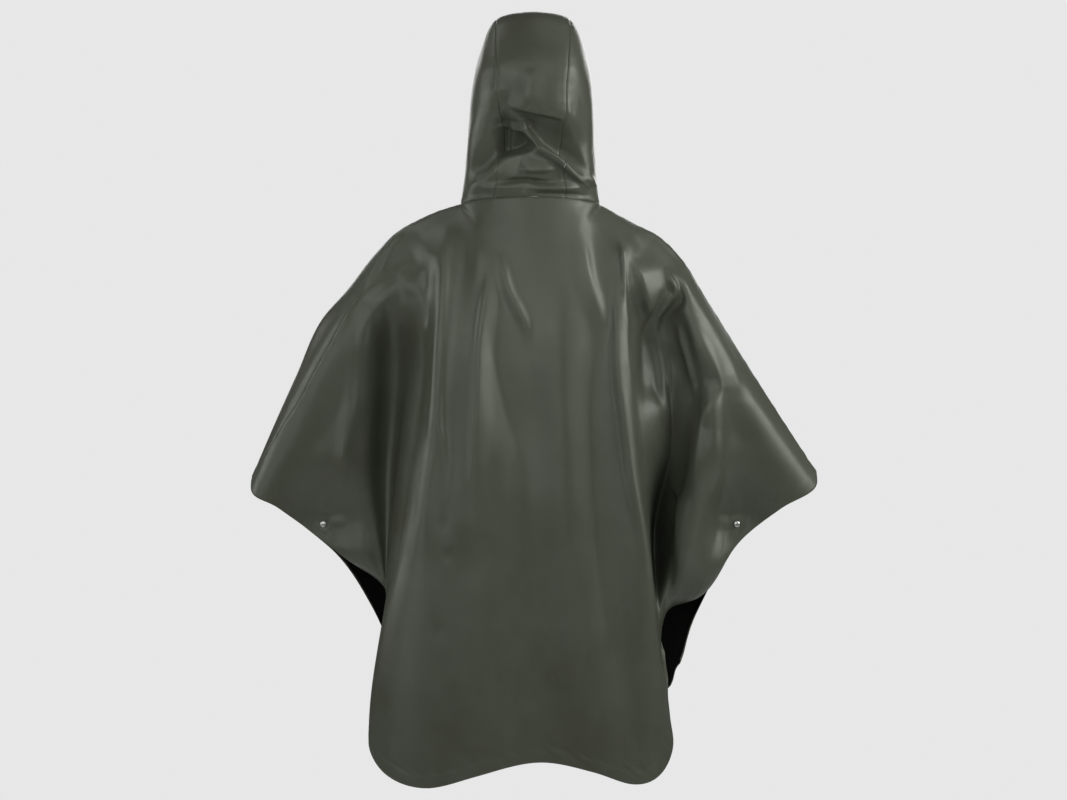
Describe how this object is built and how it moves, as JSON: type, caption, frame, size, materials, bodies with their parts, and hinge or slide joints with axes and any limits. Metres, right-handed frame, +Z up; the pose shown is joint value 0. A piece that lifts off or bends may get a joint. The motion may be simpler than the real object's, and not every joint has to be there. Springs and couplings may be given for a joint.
{
  "type": "rain poncho",
  "caption": "Hooded rain poncho of coated cloth with its hood up and its sides snapped at the cuffs, hollow as worn, longer at the back than at the front.",
  "frame": {"origin": "midway between the two sides of the neck, where the wearer's shoulders carry the garment", "axes": "+Z up, the garment faces -Y, and +X is the wearer's left"},
  "size_m": [0.9965, 0.3519, 1.3376],
  "materials": {
    "coated_cloth": "smooth polyurethane-coated knit, dark olive green, semi-gloss outside and near black inside",
    "snap_metal": "pewter grey domed snap"
  },
  "bodies": {
    "root": {"back": "coated_cloth", "front": "coated_cloth", "hood_left": "coated_cloth", "hood_strip": "coated_cloth", "hood_right": "coated_cloth", "snap_cap_left": "snap_metal", "snap_stud_left": "snap_metal", "snap_post_left": "snap_metal", "snap_cap_right": "snap_metal", "snap_stud_right": "snap_metal", "snap_post_right": "snap_metal"}
  },
  "joints": []
}
